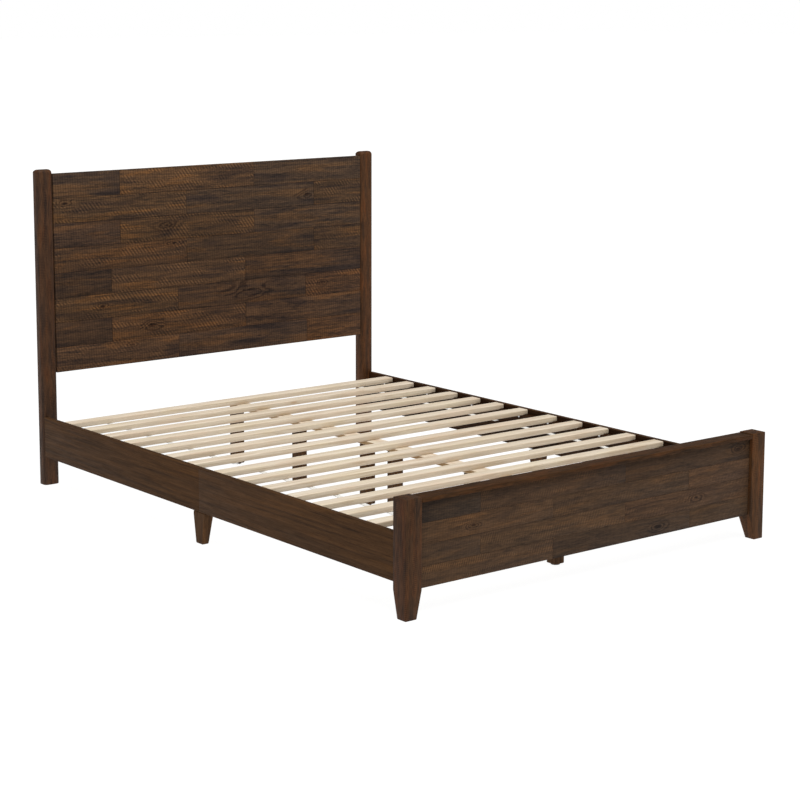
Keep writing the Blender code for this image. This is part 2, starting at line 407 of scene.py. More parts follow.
def knotField(tree, at, knot):
    # how near each point is to the plank's own knot, 1 at its heart; knot is (x, z, size)
    here = split(tree, at)
    heart = split(tree, knot)
    along = reckon(tree, "SUBTRACT", here["X"], heart["X"])
    across = product(tree, reckon(tree, "SUBTRACT", here["Z"], heart["Y"]), 2.6)
    square = reckon(tree, "MULTIPLY_ADD", along, along, product(tree, across, across))
    away = reckon(tree, "DIVIDE", reckon(tree, "SQRT", square), heart["Z"])
    away = reckon(tree, "SUBTRACT", away, 0.45)
    away = reckon(tree, "MULTIPLY_ADD", cloud(tree, at, 34.0, 2.0), 0.9, away)
    fall = product(tree, product(tree, away, away), -1.0)
    return reckon(tree, "POWER", 2.718, fall)


def sawLines(tree, at, pitch, turn, wander):
    # parallel lines across the face, 0 to 1, leaning by turn degrees
    saw = tree.nodes.new("ShaderNodeTexWave")
    saw.wave_type = "BANDS"
    saw.bands_direction = "X"
    feed(tree, saw.inputs["Vector"], stretch(tree, at, (1, 0, 1), turn=(0, math.radians(turn), 0)))
    saw.inputs["Scale"].default_value = 0.314 / pitch
    saw.inputs["Distortion"].default_value = wander
    saw.inputs["Detail"].default_value = 1.0
    saw.inputs["Detail Scale"].default_value = 0.12
    return saw.outputs["Fac"]


def sawMarks(tree, look, at, lengthwise, shade, height):
    # slanting marks in patches, and upright ones like a comb's between them
    patch = streaks(tree, lengthwise, 0.13, 0.026, 2.0, (2.2, 0, 8.8))
    sawn = level(tree, pieceValue(tree, "sawn"), 0.15, 0.8)
    amount = product(tree, level(tree, patch, 0.48, 0.60), sawn)
    lines = sawLines(tree, at, look["sawPitch"], look["sawTurn"], 1.2)
    cut = product(tree, level(tree, lines, 0.45, 0.85), amount)
    # the crests beside each cut get a painted highlight
    crestHighlight = product(tree, level(tree, lines, 0.45, 0.10), amount)
    shade = tinted(tree, shade, product(tree, cut, look["sawDepth"]), (0.22, 0.22, 0.26))
    shade = tinted(tree, shade, product(tree, crestHighlight, look["sawDepth"]), (1.75, 1.70, 1.60))
    height = reckon(tree, "MULTIPLY_ADD", cut, -0.9, height)
    comb = sawLines(tree, at, look["combPitch"], 3.0, 0.8)
    scratch = product(tree, level(tree, comb, 0.5, 0.9), reckon(tree, "SUBTRACT", 1.0, amount))
    shade = tinted(tree, shade, product(tree, scratch, look["combDepth"]), (0.45, 0.45, 0.50))
    return shade, reckon(tree, "MULTIPLY_ADD", scratch, -0.5, height)


def grainShade(tree, look, lengthwise, rings, fibre, tone):
    # streaks, growth rings and fibre between the look's dark and light, then patches and pores
    bandShare, figureShare, fibreShare = look["weights"]
    bands = streaks(tree, lengthwise, *look["bands"], 4.0, warp=0.35)
    figure = level(tree, reckon(tree, "SINE", rings), -0.95, 0.25)
    mixed = product(tree, level(tree, bands, *look["crisp"]), bandShare)
    mixed = reckon(tree, "MULTIPLY_ADD", figure, figureShare, mixed)
    mixed = reckon(tree, "MULTIPLY_ADD", level(tree, fibre, 0.36, 0.64), fibreShare, mixed)
    shade = blend(tree, "MIX", mixed, look["dark"], look["light"])
    shade = tinted(tree, tone, 1.0, shade)
    patches = streaks(tree, lengthwise, *look["patches"], 2.0, (4.4, 9.3, 2.6), warp=0.4)
    murky = product(tree, level(tree, patches, 0.48, 0.34), look["patchShare"])
    golden = product(tree, level(tree, patches, 0.52, 0.66), look["patchShare"])
    shade = tinted(tree, shade, murky, look["murky"])
    return tinted(tree, shade, golden, look["golden"])


def knotShade(tree, shade, knot, rings):
    # dark outlines round the plank's knot, and its darker heart
    loops = level(tree, reckon(tree, "SINE", rings), 0.1, -0.7)
    loops = product(tree, loops, level(tree, knot, 0.04, 0.35))
    shade = tinted(tree, shade, product(tree, loops, 0.75), (0.42, 0.38, 0.40))
    return tinted(tree, shade, level(tree, knot, 0.88, 0.99), (0.42, 0.36, 0.34))


def barMarks(tree, look, at, lengthwise, shade, height):
    # short marks across a post
    bars = sawLines(tree, at, look["bars"], 90.0, 1.0)
    spread = streaks(tree, lengthwise, 0.10, 0.014, 2.0, (6.1, 1.2, 3.3))
    marks = product(tree, level(tree, bars, 0.4, 0.9), level(tree, spread, 0.46, 0.62))
    shade = tinted(tree, shade, product(tree, marks, look["barDepth"]), (0.30, 0.32, 0.40))
    return shade, reckon(tree, "MULTIPLY_ADD", marks, -0.5, height)


def pineKnots(tree, look, lengthwise, shade):
    cells = tree.nodes.new("ShaderNodeTexVoronoi")
    drawn = stretch(tree, lengthwise, (4.0, 18.0, 18.0), shift=(0.4, 0.2, 0.27))
    feed(tree, cells.inputs["Vector"], drawn)
    cells.inputs["Scale"].default_value = 1.0
    chosen = level(tree, cells.outputs["Color"], 0.50, 0.56)
    spot = product(tree, level(tree, cells.outputs["Distance"], 0.085, 0.03), chosen)
    return tinted(tree, shade, product(tree, spot, look["knots"]), (0.72, 0.52, 0.34))


def paintedFaceLight(tree, look, at, shade):
    # painted light and shade by which way a face looks: a post's sides lightened, a rail's inner faces
    # and a slat's or centre rail's sides darkened
    # painted light on the faces that look along X
    if look["cheekLight"]:
        shade = tinted(tree, shade, level(tree, faceTurn(tree, "X"), 0.6, 0.9), look["cheekLight"])
    if look["insideShade"]:
        # painted shade on a side rail's inner faces, those nearer the middle than its outer face
        fromMiddle = reckon(tree, "ABSOLUTE", split(tree, at)["X"])
        shade = tinted(tree, shade, level(tree, fromMiddle, 0.6955, 0.6935), look["insideShade"])
    # painted shade on faces that don't look up
    if look["sides"]:
        shade = tinted(tree, shade, level(tree, faceTurn(tree, "Z"), 0.85, 0.35), look["sides"])
    return shade


def woodMaterial(name, changes):
    look = {**commonLook, **changes}
    material, tree, shader = startMaterial(name, 0.6)
    at = place(tree)
    lengthwise = stretch(tree, at, turn=grainTurns[look["grain"]], shift=look["shift"])
    tone = look["tone"]
    if look["perPlank"]:
        tone = pieceValue(tree, "plankTone", "Color")
        offset = tree.nodes.new("ShaderNodeVectorMath")
        offset.operation = "ADD"
        feed(tree, offset.inputs[0], pieceValue(tree, "plankSeed", "Vector"))
        feed(tree, offset.inputs[1], lengthwise)
        lengthwise = offset.outputs["Vector"]
    swell = streaks(tree, lengthwise, *look["swell"], 1.5, (3.1, 0.7, 1.9), warp=0.2)
    if look["perPlank"]:
        knot = knotField(tree, at, pieceValue(tree, "plankKnot", "Vector"))
        swell = reckon(tree, "MULTIPLY_ADD", knot, 0.36, swell)
    rings = product(tree, swell, look["rings"] * 2 * math.pi)
    fibre = streaks(tree, lengthwise, *look["fibre"], 5.0, (1.3, 5.1, 0.4))
    pores = streaks(tree, lengthwise, 0.016, 0.0010, 1.0, (7.7, 2.3, 4.1))
    shade = grainShade(tree, look, lengthwise, rings, fibre, tone)
    shade = tinted(tree, shade, level(tree, pores, 0.58, 0.70, 0.0, look["pores"]), (0.45, 0.42, 0.40))
    height = product(tree, fibre, 0.6)
    height = reckon(tree, "MULTIPLY_ADD", pores, -0.5, height)
    if look["perPlank"]:
        shade = knotShade(tree, shade, knot, rings)
        shade, height = sawMarks(tree, look, at, lengthwise, shade, height)
    if look["bars"]:
        shade, height = barMarks(tree, look, at, lengthwise, shade, height)
    if look["knots"]:
        shade = pineKnots(tree, look, lengthwise, shade)
    shade = paintedFaceLight(tree, look, at, shade)
    # painted shade along the planks' seams, painted highlight on the corners of posts, rails and slats
    edge = product(tree, edgeShadeAndHighlight(tree, look["reach"]), look["paintedEdgeShare"])
    shade = tinted(tree, shade, edge, look["edge"])
    shade = tinted(tree, shade, 1.0, (look["gain"],) * 3)
    feed(tree, shader.inputs["Base Color"], shade)
    low, high = look["roughness"]
    feed(tree, shader.inputs["Roughness"], level(tree, fibre, 0.3, 0.7, high, low))
    shader.inputs["Specular IOR Level"].default_value = look["shine"]
    relief(tree, shader, height, 0.35, 0.0006)
    return material


# each post: colour, where in the grain it is cut, and the painted light on its side faces
postTones = {
    "headLeft": ((0.0735, 0.0364, 0.0197), (0.0, 0.0, 0.0), (1.0, 1.0, 1.0)),
    "headRight": ((0.0905, 0.0403, 0.0172), (1.3, 2.2, 0.4), (1.0, 1.0, 1.0)),
    "footLeft": ((0.0626, 0.0302, 0.0142), (2.9, 0.6, 1.1), (1.15, 1.04, 1.02)),
    "footRight": ((0.0820, 0.0361, 0.0138), (0.7, 3.4, 2.3), (1.0, 1.0, 1.0)),
}
headPlankWood = woodMaterial("headPlankWood", woodLooks["headPlankWood"])
footPlankWood = woodMaterial("footPlankWood", woodLooks["footPlankWood"])
postWoods = {}
for post, (tone, shift, cheekLight) in postTones.items():
    ownLook = {**woodLooks["postWood"], "tone": tone, "shift": shift, "cheekLight": cheekLight}
    postWoods[post] = woodMaterial(post + "PostWood", ownLook)
railWood = woodMaterial("railWood", woodLooks["railWood"])
pineX = woodMaterial("pineSlats", woodLooks["pine"])
pineY = woodMaterial("pineCentreRail", {
    **woodLooks["pine"],
    "grain": "y",
    # painted shade: the centre rail's side faces are tan and darker than its top
    "sides": (0.52, 0.40, 0.26),
})
# the cap's tone and gain darken it all over, as painted shade against the sheen on its top
capWood = woodMaterial("capWood", {
    **woodLooks["postWood"],
    "grain": "x",
    "tone": (0.070, 0.0325, 0.0135),
    "gain": 0.75,
    "shine": 0.05,
    "barDepth": 0.0,
})
uprightLook = {**woodLooks["railWood"], "grain": "z", "insideShade": None}
legWood = woodMaterial("legWood", {**uprightLook, "tone": (0.068, 0.035, 0.0175)})
battenWood = woodMaterial("battenWood", {**uprightLook, "tone": (0.052, 0.030, 0.019)})
print("wood finishes ready")


# metal, plastic and webbing

def steelMaterial(name, pale, deep, metallic, shine):
    material, tree, shader = startMaterial(name, 0.36, metallic)
    at = place(tree)
    spangle = tree.nodes.new("ShaderNodeTexVoronoi")
    feed(tree, spangle.inputs["Vector"], at)
    spangle.inputs["Scale"].default_value = 260.0
    brushed = cloud(tree, stretch(tree, at, (60, 60, 900)), 1.0, 3.0)
    tint = level(tree, spangle.outputs["Color"], 0.1, 0.9, 0.0, 1.0)
    shade = blend(tree, "MIX", tint, deep, pale)
    shade = tinted(tree, shade, level(tree, brushed, 0.35, 0.7, 0.0, 0.5), (0.72, 0.71, 0.70))
    feed(tree, shader.inputs["Base Color"], shade)
    feed(tree, shader.inputs["Roughness"], level(tree, brushed, 0.3, 0.7, 0.28, 0.5))
    shader.inputs["Specular IOR Level"].default_value = shine
    relief(tree, shader, brushed, 0.15, 0.0002)
    return material


def nylonMaterial():
    material, tree, shader = startMaterial("blackNylon", 0.42)
    at = place(tree)
    scuff = cloud(tree, at, 420.0, 4.0)
    stain = cloud(tree, at, 60.0, 2.0)
    stain = level(tree, stain, 0.3, 0.75)
    shade = blend(tree, "MIX", stain, (0.022, 0.020, 0.019), (0.034, 0.031, 0.029))
    feed(tree, shader.inputs["Base Color"], shade)
    feed(tree, shader.inputs["Roughness"], level(tree, scuff, 0.3, 0.7, 0.34, 0.55))
    relief(tree, shader, scuff, 0.12, 0.0002)
    return material


webbingLook = {
    "rib": 0.0011,  # metres from one cross thread to the next
    "warp": 0.0016,
    "white": (0.86, 0.85, 0.82),
    "shadow": (0.60, 0.585, 0.55),
}


def webbingMaterial(look):
    material, tree, shader = startMaterial("whiteWebbing", 0.85)
    apart = split(tree, place(tree))
    ribTurn = product(tree, apart["Y"], 2 * math.pi / look["rib"])
    warpTurn = product(tree, apart["X"], 2 * math.pi / look["warp"])
    weave = product(tree, reckon(tree, "SINE", ribTurn), reckon(tree, "SINE", warpTurn))
    weave = reckon(tree, "MULTIPLY_ADD", weave, 0.5, 0.5)
    fuzz = cloud(tree, place(tree), 900.0, 2.0)
    shade = blend(tree, "MIX", level(tree, weave, 0.1, 0.6), look["shadow"], look["white"])
    shade = tinted(tree, shade, level(tree, fuzz, 0.5, 0.8, 0.0, 0.3), (0.85, 0.84, 0.8))
    feed(tree, shader.inputs["Base Color"], shade)
    shader.inputs["Sheen Weight"].default_value = 0.2
    relief(tree, shader, weave, 0.6, 0.0003)
    return material


steel = steelMaterial("zincSteel", (0.80, 0.80, 0.80), (0.66, 0.66, 0.67), metallic=0.6, shine=0.5)
darkSteel = steelMaterial("blackedSteel", (0.034, 0.019, 0.012), (0.021, 0.012, 0.008), 0.0, 0.02)
nylon = nylonMaterial()
webbing = webbingMaterial(webbingLook)
print("metal, nylon and webbing ready")


# modelling helpers

def restAll():
    if bpy.context.mode != "OBJECT":
        bpy.ops.object.mode_set(mode="OBJECT")
    bpy.ops.object.select_all(action="DESELECT")


def settle(piece, name):
    # the piece's place goes into its mesh, and its object to the origin
    piece.name = piece.data.name = name
    bpy.ops.object.transform_apply(location=True, rotation=True, scale=True)


def addBlock(name, low, high):
    restAll()
    middle = [(a + b) / 2 for a, b in zip(low, high)]
    bpy.ops.mesh.primitive_cube_add(size=1, location=middle)
    piece = bpy.context.object
    piece.scale = [b - a for a, b in zip(low, high)]
    settle(piece, name)
    return piece


def addDisc(name, corners, radius, height, foot=(0, 0, 0)):
    # an upright disc that stands on foot
    restAll()
    middle = Vector(foot) + Vector((0, 0, height / 2))
    bpy.ops.mesh.primitive_cylinder_add(vertices=corners, radius=radius, depth=height, location=middle)
    piece = bpy.context.object
    settle(piece, name)
    return piece


def pickCorners(piece, test):
    bpy.ops.object.mode_set(mode="EDIT")
    bpy.ops.mesh.select_mode(type="VERT")
    bpy.ops.mesh.select_all(action="DESELECT")
    bpy.ops.object.mode_set(mode="OBJECT")
    for vert in piece.data.vertices:
        vert.select = test(vert.co)
    bpy.ops.object.mode_set(mode="EDIT")


def pickEdges(piece, test):
    # test is given each edge's middle and direction
    bpy.ops.object.mode_set(mode="EDIT")
    bpy.ops.mesh.select_mode(type="EDGE")
    bpy.ops.mesh.select_all(action="DESELECT")
    bpy.ops.object.mode_set(mode="OBJECT")
    points = piece.data.vertices
    for edge in piece.data.edges:
        a, b = (points[i].co for i in edge.vertices)
        edge.select = test((a + b) / 2, (b - a).normalized())
    bpy.ops.object.mode_set(mode="EDIT")


def sliceAt(piece, point, normal):
    bpy.ops.object.mode_set(mode="EDIT")
    bpy.ops.mesh.select_all(action="SELECT")
    bpy.ops.mesh.bisect(plane_co=point, plane_no=normal)
    bpy.ops.object.mode_set(mode="OBJECT")


def roundWhere(piece, size, steps, test=lambda middle, way: True):
    pickEdges(piece, test)
    bpy.ops.mesh.bevel(offset=size, segments=steps, affect="EDGES")
    bpy.ops.object.mode_set(mode="OBJECT")


smoothAngle = 32  # degrees: sharper edges stay sharp


def finishPiece(piece, body, slotName, material, *replaced):
    restAll()
    piece.select_set(True)
    bpy.context.view_layer.objects.active = piece
    bpy.ops.object.shade_smooth_by_angle(angle=math.radians(smoothAngle))
    piece.data.materials.clear()
    piece.data.materials.append(material)
    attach(piece, body)
    if replaced:
        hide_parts(*replaced)
    return piece


def copyTo(piece, name, matrix):
    restAll()
    piece.select_set(True)
    bpy.context.view_layer.objects.active = piece
    bpy.ops.object.duplicate(linked=False)
    copy = bpy.context.object
    copy.matrix_world = matrix
    settle(copy, name)
    return copy


def joinAll(pieces, name):
    restAll()
    for piece in pieces:
        piece.select_set(True)
    bpy.context.view_layer.objects.active = pieces[0]
    bpy.ops.object.join()
    joined = bpy.context.object
    joined.name = joined.data.name = name
    return joined


def throwAway(piece):
    bpy.data.objects.remove(piece, do_unlink=True)


# planks of the two boards

headPlankShape = {
    "edge": 0.0015,
    "steps": 2,
    "gap": 0.0001,
    "proudest": 0.0011,  # how unevenly the faces stand
    "dim": (1.05, 1.09, 1.09),  # over all its planks' colours, as painted light: lighter here, where the headboard gets less light
}
footPlankShape = {
    "edge": 0.0009,
    "steps": 2,
    "gap": 0.0001,
    "proudest": 0.0006,
    # painted shade: the footboard's planks are darkened, as it catches more light from the floor
    "dim": (0.97, 0.93, 0.84),
}

# each row from the top: where the planks end, then each plank's colour and how sawn it is
headRows = [
    ((-0.393, 0.168), (
        (0.0629, 0.0387, 0.0271, 0.2),
        (0.0942, 0.0517, 0.0287, 1.0),
        (0.0665, 0.0413, 0.0285, 0.2),
    )),
    ((-0.122, 0.438), (
        (0.0755, 0.0428, 0.0245, 0.9),
        (0.0636, 0.0394, 0.0269, 0.2),
        (0.0720, 0.0415, 0.0245, 1.0),
    )),
    ((-0.393, 0.168), (
        (0.0571, 0.0335, 0.0236, 0.1),
        (0.0730, 0.0401, 0.0219, 1.0),
        (0.0614, 0.0377, 0.0259, 0.1),
    )),
    ((-0.122, 0.437), (
        (0.0635, 0.0348, 0.0207, 0.9),
        (0.0565, 0.0332, 0.0213, 0.2),
        (0.0609, 0.0350, 0.0213, 0.5),
    )),
    ((-0.433, 0.127), (
        (0.0430, 0.0255, 0.0178, 0.0),
        (0.0750, 0.0415, 0.0242, 1.0),
        (0.0526, 0.0308, 0.0213, 0.1),
    )),
    ((-0.162, 0.398), (
        (0.0740, 0.0404, 0.0222, 1.0),
        (0.0577, 0.0328, 0.0212, 0.2),
        (0.0751, 0.0385, 0.0219, 0.8),
    )),
    ((-0.433, 0.128), (
        (0.0486, 0.0280, 0.0187, 0.1),
        (0.0774, 0.0407, 0.0224, 0.7),
        (0.0684, 0.0382, 0.0242, 0.3),
    )),
    ((-0.16, 0.403), (
        (0.0705, 0.0392, 0.0243, 0.5),
        (0.0625, 0.0367, 0.0252, 0.1),
        (0.0875, 0.0442, 0.0234, 0.3),
    )),
]
footRows = [
    ((-0.438, 0.122), (
        (0.0457, 0.0297, 0.0206, 0.2),
        (0.0633, 0.0371, 0.0229, 0.7),
        (0.0592, 0.0355, 0.0228, 0.3),
    )),
    ((-0.166, 0.39), (
        (0.0788, 0.0452, 0.0260, 0.5),
        (0.0702, 0.0424, 0.0264, 0.6),
        (0.0883, 0.0513, 0.0323, 1.0),
    )),
    ((-0.438, 0.122), (
        (0.0662, 0.0400, 0.0250, 0.4),
        (0.0750, 0.0446, 0.0266, 0.7),
        (0.0781, 0.0454, 0.0284, 0.8),
    )),
    ((-0.164, 0.396), (
        (0.0734, 0.0434, 0.0263, 0.9),
        (0.0545, 0.0348, 0.0240, 0.1),
        (0.0680, 0.0424, 0.0277, 0.5),
    )),
]

# (row, plank): the heart of its knot and the knot's size
headKnots = {
    (2, 1): (-0.610, 0.968, 0.030), (2, 2): (0.405, 0.940, 0.045), (3, 2): (-0.205, 0.866, 0.040),
    (4, 1): (-0.175, 0.801, 0.030), (6, 1): (-0.470, 0.600, 0.030), (6, 2): (0.145, 0.606, 0.085),
    (6, 3): (0.475, 0.606, 0.022), (7, 2): (-0.270, 0.516, 0.045), (8, 1): (-0.355, 0.455, 0.022),
}
footKnots = {
    (1, 3): (0.604, 0.296, 0.035), (2, 1): (-0.466, 0.228, 0.025),
    (3, 3): (0.424, 0.172, 0.030), (4, 2): (0.264, 0.106, 0.035),
}
noKnot = (99, 99, 0.03)  # far outside the board


def tagPlank(piece, tone, sawn, seed, knot):
    mesh = piece.data
    count = len(mesh.vertices)
    colour = mesh.attributes.new("plankTone", "FLOAT_COLOR", "POINT")
    colour.data.foreach_set("color", [*tone, 1.0] * count)
    offset = mesh.attributes.new("plankSeed", "FLOAT_VECTOR", "POINT")
    offset.data.foreach_set("vector", list(seed) * count)
    heart = mesh.attributes.new("plankKnot", "FLOAT_VECTOR", "POINT")
    heart.data.foreach_set("vector", list(knot) * count)
    marks = mesh.attributes.new("sawn", "FLOAT", "POINT")
    marks.data.foreach_set("value", [sawn] * count)


def addPlanks(name, node, rows, knots, shape, seed, material):
    draw = random.Random(seed)
    low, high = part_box(node)
    rowHeight = (high.z - low.z) / len(rows)
    first = True
    for rowNumber, (joints, planks) in enumerate(rows, 1):
        top = high.z - (rowNumber - 1) * rowHeight
        cuts = [low.x, *joints, high.x]
        for plankNumber, (left, right, look) in enumerate(zip(cuts, cuts[1:], planks), 1):
            proud = draw.uniform(0, shape["proudest"])
            gap = shape["gap"] / 2
            corner = (left + gap, low.y + proud, top - rowHeight + gap)
            far = (right - gap, high.y, top - gap)
            piece = addBlock(f"{name}_{rowNumber}_{plankNumber}", corner, far)
            roundWhere(piece, shape["edge"], shape["steps"])
            knot = knots.get((rowNumber, plankNumber), noKnot)
            tone = [part * share for part, share in zip(look, shape["dim"])]
            grainShift = [draw.uniform(-9, 9) for axis in range(3)]
            tagPlank(piece, tone, look[3], grainShift, knot)
            finishPiece(piece, "frame", "plank_wood", material, *([node] if first else []))
            first = False


addPlanks(
    "headboard_plank", "headboard_panel", headRows, headKnots, headPlankShape, 4, headPlankWood
)
addPlanks(
    "footboard_plank", "footboard_panel", footRows, footKnots, footPlankShape, 11, footPlankWood
)
print("planks laid")


sideSigns = ((-1, "left"), (1, "right"))
sides = ("left", "right")
ends = ("head", "foot")

# posts and the footboard's top rail

headPostShape = {
    "frontRound": 0.014,
    "topRound": 0.0130,
    "backRound": 0.0021,
    "steps": 6,
    "backSteps": 2,
}
footPostShape = {
    "taperTop": 0.080,  # above this the post is straight
    "inX": 0.018,  # how far the two inner faces come in at the floor
    "inY": 0.019,
    "edge": 0.002,
    "steps": 3,
}
topRailShape = {"edge": 0.002, "steps": 3}
touch = 0.0001  # a point nearer than this to a face is on it


def addHeadPost(label, shape):
    node = "headboard_post_" + label
    low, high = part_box(node)
    piece = addBlock("head_post_" + label, low, high)

    def frontCorner(at, way):
        return abs(way.z) > 0.9 and at.y < low.y + 0.001

    def backOrFoot(at, way):
        return at.z < touch or (abs(way.z) > 0.9 and at.y > high.y - touch)

    roundWhere(piece, shape["frontRound"], shape["steps"], frontCorner)
    roundWhere(piece, shape["topRound"], shape["steps"], lambda at, way: at.z > high.z - touch)
    roundWhere(piece, shape["backRound"], shape["backSteps"], backOrFoot)
    finishPiece(piece, "frame", "post_wood", postWoods["head" + label.capitalize()], node)


def addFootPost(side, label, shape):
    node = "footboard_post_" + label
    low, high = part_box(node)
    piece = addBlock("foot_post_" + label, low, high)
    sliceAt(piece, (0, 0, shape["taperTop"]), (0, 0, 1))
    middle = (low.x + high.x) / 2
    pickCorners(piece, lambda at: at.z < 0.001 and (at.x - middle) * side < 0)
    bpy.ops.transform.translate(value=(side * shape["inX"], 0, 0))
    pickCorners(piece, lambda at: at.z < 0.001 and at.y > low.y + 0.01)
    bpy.ops.transform.translate(value=(0, -shape["inY"], 0))

    def notTheBend(at, way):
        return abs(at.z - shape["taperTop"]) > 0.001

    roundWhere(piece, shape["edge"], shape["steps"], notTheBend)
    finishPiece(piece, "frame", "post_wood", postWoods["foot" + label.capitalize()], node)


def addTopRail(shape):
    low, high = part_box("footboard_top_rail")
    piece = addBlock("foot_top_rail", low, high)
    roundWhere(piece, shape["edge"], shape["steps"])
    finishPiece(piece, "frame", "post_wood", capWood, "footboard_top_rail")


for side, label in sideSigns:
    addHeadPost(label, headPostShape)
    addFootPost(side, label, footPostShape)
addTopRail(topRailShape)
print("posts and top rail done")


# side rails

railShape = {"edge": 0.0015, "steps": 3}


def addSideRail(label, end, shape):
    # the CAD leaves a hair's breadth between the two halves, which here meet
    node = f"side_rail_{label}_{end}"
    low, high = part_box(node)
    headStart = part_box(f"side_rail_{label}_head")[0].y
    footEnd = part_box(f"side_rail_{label}_foot")[1].y
    middle = (headStart + footEnd) / 2
    if end == "head":
        low.y = middle
    else:
        high.y = middle
    piece = addBlock(f"rail_{label}_{end}", low, high)
    roundWhere(piece, shape["edge"], shape["steps"])
    finishPiece(piece, "frame", "rail_wood", railWood, node)


for label in sides:
    for end in ends:
        addSideRail(label, end, railShape)
print("side rails done")


# slats, straps and staples

slatShape = {"edge": 0.0035, "steps": 3}
strapShape = {
    "sag": 0.0020,  # between two slats
    "parts": 5,  # pieces that a sagging stretch is cut into
    "staple": (0.012, 0.0014, 0.0006),
    "stapleRound": 0.0003,
    "staplesAt": (0.3, 0.7),  # across each slat
}
rolls = {"head": range(1, 8), "foot": range(8, 15)}  # the slats' numbers


def slatBox(number):
    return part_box(f"slat_{number:02d}")


def slatMiddle(number):
    low, high = slatBox(number)
    return (low.y + high.y) / 2


def addSlats(shape):
    low, high = slatBox(1)
    first = addBlock("slat_model", low, high)
    roundWhere(first, shape["edge"], shape["steps"])
    for number in range(1, 15):
        down = slatBox(number)[0].y - low.y
        piece = copyTo(first, f"pine_slat_{number:02d}", Matrix.Translation((0, down, 0)))
        finishPiece(piece, "frame", "pine", pineX, f"slat_{number:02d}")
    throwAway(first)


def addStrap(label, end, shape):
    node = f"slat_strap_{label}_{end}"
    low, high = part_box(node)
    piece = addBlock(f"strap_{label}_{end}", low, high)
    slatEnds = sorted(corner.y for number in rolls[end] for corner in slatBox(number))
    gaps = list(zip(slatEnds[1:-1:2], slatEnds[2:-1:2]))
    parts = shape["parts"]
    for near, far in gaps:
        for part in range(parts + 1):
            sliceAt(piece, (0, near + part / parts * (far - near), 0), (0, 1, 0))
    for near, far in gaps:
        for part in range(1, parts):
            share = part / parts
            y = near + share * (far - near)
            pickCorners(piece, lambda at: abs(at.y - y) < 0.0005)
            bpy.ops.transform.translate(value=(0, 0, -shape["sag"] * 4 * share * (1 - share)))
    restAll()
    finishPiece(piece, "frame", "webbing", webbing, node)


def addStaples(label, end, shape):
    low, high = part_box(f"slat_strap_{label}_{end}")
    long, wide, deep = shape["staple"]
    middle = (low.x + high.x) / 2
    model = addBlock("staple_model", (-long / 2, -wide / 2, -deep), (long / 2, wide / 2, 0))
    roundWhere(model, shape["stapleRound"], 2)
    copies = []
    for number in rolls[end]:
        slatLow, slatHigh = slatBox(number)
        for share in shape["staplesAt"]:
            y = slatLow.y + share * (slatHigh.y - slatLow.y)
            copies.append(copyTo(model, "staple", Matrix.Translation((middle, y, low.z))))
    throwAway(model)
    finishPiece(joinAll(copies, f"staples_{label}_{end}"), "frame", "steel", steel)


addSlats(slatShape)
for label in sides:
    for end in ends:
        addStrap(label, end, strapShape)
        addStaples(label, end, strapShape)
print("slats strapped")


# glides

glideShape = {
    "disc": 0.0037,  # its height
    "stem": 0.004,  # the stem's radius
    "foot": 0.0010,  # how round its edges are
    "steps": 3,
    "sides": 48,
}


def addGlide(number, shape):
    node = f"leg_glide_{number}"
    low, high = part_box(node)
    radius = (high.x - low.x) / 2
    middle = Vector(((low.x + high.x) / 2, (low.y + high.y) / 2, 0))
    top = shape["disc"]
    piece = addDisc(f"glide_foot_{number}", shape["sides"], radius, top, middle)
    pickCorners(piece, lambda at: at.z > top - touch)
    bpy.ops.mesh.inset(thickness=radius - shape["stem"], depth=0)
    bpy.ops.mesh.extrude_region_move(TRANSFORM_OT_translate={"value": (0, 0, high.z - top)})
    bpy.ops.object.mode_set(mode="OBJECT")

    def outerRim(at, way):
        onTop = abs(at.z - top) < touch and (at - middle).xy.length > radius * 0.9
        return at.z < touch or onTop

    roundWhere(piece, shape["foot"], shape["steps"], outerRim)
    finishPiece(piece, f"glide_{number}", "nylon", nylon, node)


for number in range(1, 7):
    addGlide(number, glideShape)
print("glides turned")


# screws and bolts

screwShape = {
    "head": 0.0042,  # radius
    "rise": 0.0014,
    "slot": 0.0011,  # the cross slot's width, and its reach from the middle
    "reach": 0.0026,
    "sink": 0.0009,
}
boltShape = {
    "head": 0.0065,
    "rise": 0.0030,
    "key": 0.0026,  # radius of the six-sided hole
    "sink": 0.0018,
}
fixingPlaces = {
    "underLedgerTop": 0.0062,
    "bracketThickness": 0.003,
    "bracketEnd": 0.014,  # from a bracket's free edge
    "bracketCorner": 0.020,  # from its top and bottom
    "plateBolts": (-0.080, -0.030, 0.030, 0.080),  # along the joint plate, from its middle
    "battenFirst": 0.043,
    "battenPitch": 0.0854,  # from one to the next
    "battenScrews": 7,
    "centreRailEdge": 0.0095,
}


def cutAway(piece, cutter):
    cut = piece.modifiers.new("cut", "BOOLEAN")
    cut.object = cutter
    cut.solver = "EXACT"
    restAll()
    piece.select_set(True)
    bpy.context.view_layer.objects.active = piece
    bpy.ops.object.modifier_apply(modifier=cut.name)
    throwAway(cutter)


def addScrewModel(shape):
    # stands on z = 0, its head upwards
    rise = shape["rise"]
    piece = addDisc("screw_model", 24, shape["head"], rise)
    roundWhere(piece, rise * 0.7, 3, lambda at, way: at.z > rise - 0.00005)
    for long, wide in (
        (shape["reach"], shape["slot"] / 2),
        (shape["slot"] / 2, shape["reach"]),
    ):
        low = (-long, -wide, rise - shape["sink"])
        cutAway(piece, addBlock("cutter", low, (long, wide, rise + 0.001)))
    return piece


def addBoltModel(shape):
    rise = shape["rise"]
    piece = addDisc("bolt_model", 32, shape["head"], rise)
    roundWhere(piece, rise * 0.5, 4, lambda at, way: at.z > rise - 0.00005)
    cutAway(piece, addDisc("cutter", 6, shape["key"], 0.006, (0, 0, rise - shape["sink"])))
    return piece


